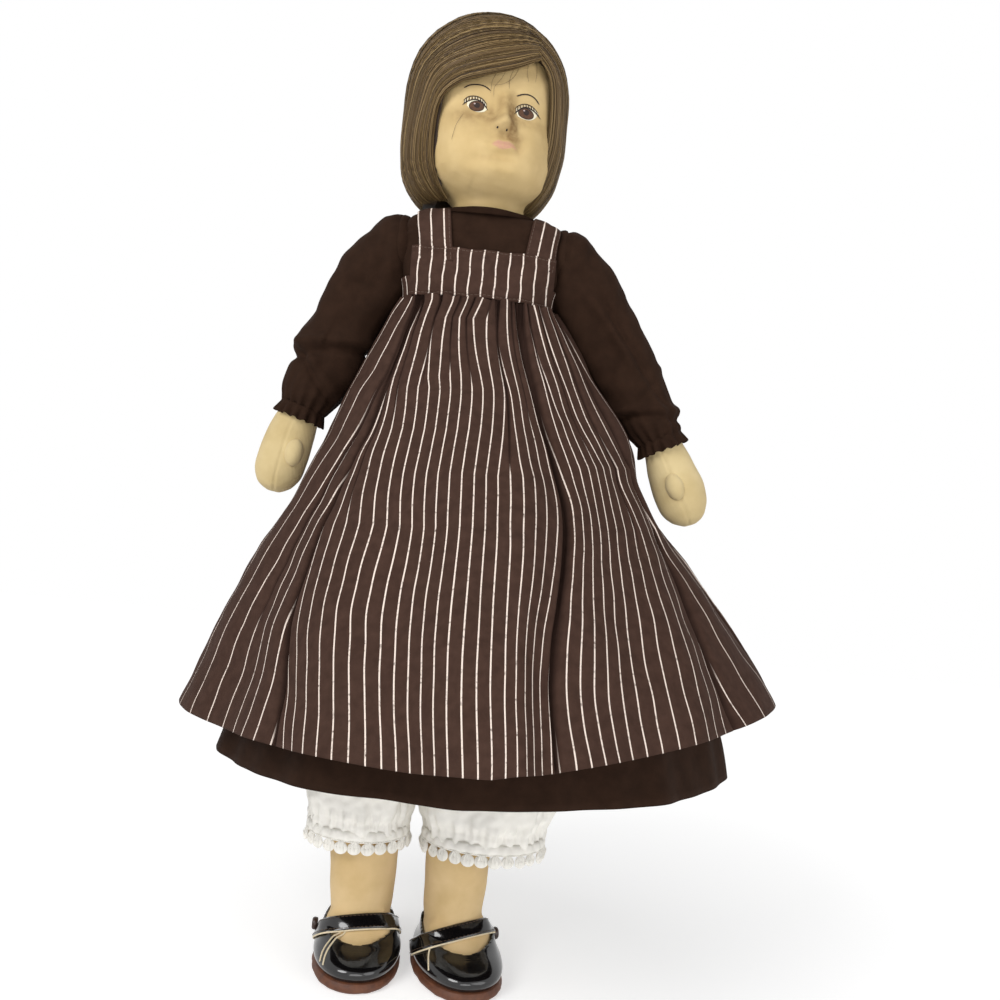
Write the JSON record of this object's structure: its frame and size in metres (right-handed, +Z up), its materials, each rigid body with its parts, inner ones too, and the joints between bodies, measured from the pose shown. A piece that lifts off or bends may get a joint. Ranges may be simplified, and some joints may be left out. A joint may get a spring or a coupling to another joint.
{
  "type": "jointed cloth doll",
  "caption": "Standing cloth doll with a wig, long-sleeved dress, striped pinafore, bloomers and strap shoes; neck, shoulders and hips turn on disc joints.",
  "frame": {"origin": "on the ground under the middle of the doll's outline", "axes": "+Z up, +X towards the doll's left, -Y the way the doll faces"},
  "size_m": [0.3101, 0.2652, 0.485],
  "materials": {
    "skin_cloth": "fine knitted cotton, matt",
    "leg_cloth": "fine knitted cotton, matt",
    "hair": "straight wig fibre, soft shine",
    "dress_cloth": "plain woven cotton, matt",
    "pinafore_cloth": "woven cotton with cream pinstripes",
    "white_cotton": "thin crinkled cotton and cotton lace",
    "patent": "patent, high gloss",
    "sole": "smooth, low sheen",
    "lining": "matt",
    "hardboard": "raw board",
    "steel": "plain wire and stamped washer",
    "button": "polished"
  },
  "bodies": {
    "body": {"torso": "skin_cloth", "dress_bodice": "dress_cloth", "dress_skirt": "dress_cloth", "dress_button_1": "button", "dress_button_2": "button", "pinafore_bib": "pinafore_cloth", "pinafore_band_left": "pinafore_cloth", "pinafore_band_right": "pinafore_cloth", "pinafore_button": "button", "pinafore_strap_left": "pinafore_cloth", "pinafore_strap_right": "pinafore_cloth", "pinafore_skirt": "pinafore_cloth", "bloomers_seat": "white_cotton", "neck_disc_body": "hardboard", "neck_washer": "steel", "shoulder_left_disc_body": "hardboard", "shoulder_left_washer": "steel", "shoulder_right_disc_body": "hardboard", "shoulder_right_washer": "steel", "hip_left_disc_body": "hardboard", "hip_left_washer": "steel", "hip_right_disc_body": "hardboard", "hip_right_washer": "steel"},
    "head": {"head": "skin_cloth", "wig": "hair", "neck_disc_limb": "hardboard", "neck_pin": "steel"},
    "arm_left": {"arm_left": "skin_cloth", "thumb_left": "skin_cloth", "sleeve_left": "dress_cloth", "cuff_ruffle_left": "dress_cloth", "shoulder_left_disc_limb": "hardboard", "shoulder_left_pin": "steel"},
    "leg_left": {"leg_left": "leg_cloth", "bloomer_leg_left": "white_cotton", "lace_left": "white_cotton", "shoe_upper_left": "patent", "shoe_strap_left": "patent", "shoe_button_left": "button", "shoe_sole_left": "sole", "insole_left": "lining", "hip_left_disc_limb": "hardboard", "hip_left_pin": "steel"},
    "arm_right": {"arm_right": "skin_cloth", "thumb_right": "skin_cloth", "sleeve_right": "dress_cloth", "cuff_ruffle_right": "dress_cloth", "shoulder_right_disc_limb": "hardboard", "shoulder_right_pin": "steel"},
    "leg_right": {"leg_right": "leg_cloth", "bloomer_leg_right": "white_cotton", "lace_right": "white_cotton", "shoe_upper_right": "patent", "shoe_strap_right": "patent", "shoe_button_right": "button", "shoe_sole_right": "sole", "insole_right": "lining", "hip_right_disc_limb": "hardboard", "hip_right_pin": "steel"}
  },
  "joints": [
    {"name": "neck_turn", "type": "hinge", "parent": "body", "child": "head", "pos_m": [-0.0205, 0.017, 0.3758], "axis": [0, 0, 1], "range_deg": [-81, 59]},
    {"name": "shoulder_left", "type": "hinge", "parent": "body", "child": "arm_left", "pos_m": [0.018, 0.017, 0.361], "axis": [1, 0, 0], "range_deg": [-170, 40]},
    {"name": "hip_left", "type": "hinge", "parent": "body", "child": "leg_left", "pos_m": [-0.0077, 0.017, 0.236], "axis": [1, 0, 0], "range_deg": [-25, 20]},
    {"name": "shoulder_right", "type": "hinge", "parent": "body", "child": "arm_right", "pos_m": [-0.06, 0.017, 0.361], "axis": [1, 0, 0], "range_deg": [-170, 40]},
    {"name": "hip_right", "type": "hinge", "parent": "body", "child": "leg_right", "pos_m": [-0.0403, 0.017, 0.236], "axis": [1, 0, 0], "range_deg": [-25, 20]}
  ]
}
